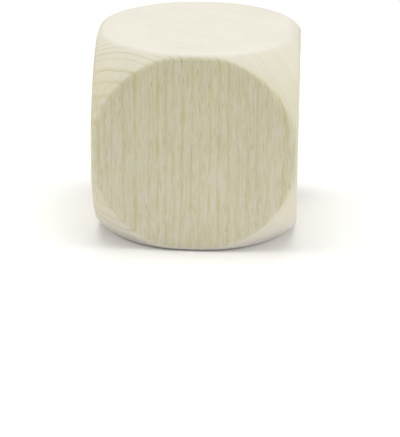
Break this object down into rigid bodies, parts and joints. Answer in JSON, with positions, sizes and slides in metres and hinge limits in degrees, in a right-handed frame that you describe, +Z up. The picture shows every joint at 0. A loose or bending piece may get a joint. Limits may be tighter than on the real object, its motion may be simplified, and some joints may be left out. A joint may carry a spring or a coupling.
{
  "type": "wooden cube",
  "caption": "Solid beech cube with flat round faces, corners turned to a ball and sanded rims, for blank dice, stacking and crafts.",
  "frame": {"origin": "middle of the base, on the surface that the cube stands on", "axes": "+Z up, along the grain; -Y out of the face that looks at the camera; +X to that face's right"},
  "size_m": [0.05, 0.05, 0.05],
  "materials": {
    "beech": "bare, finely sanded, grain along Z"
  },
  "bodies": {
    "root": {"wooden_cube": "beech"}
  },
  "joints": []
}
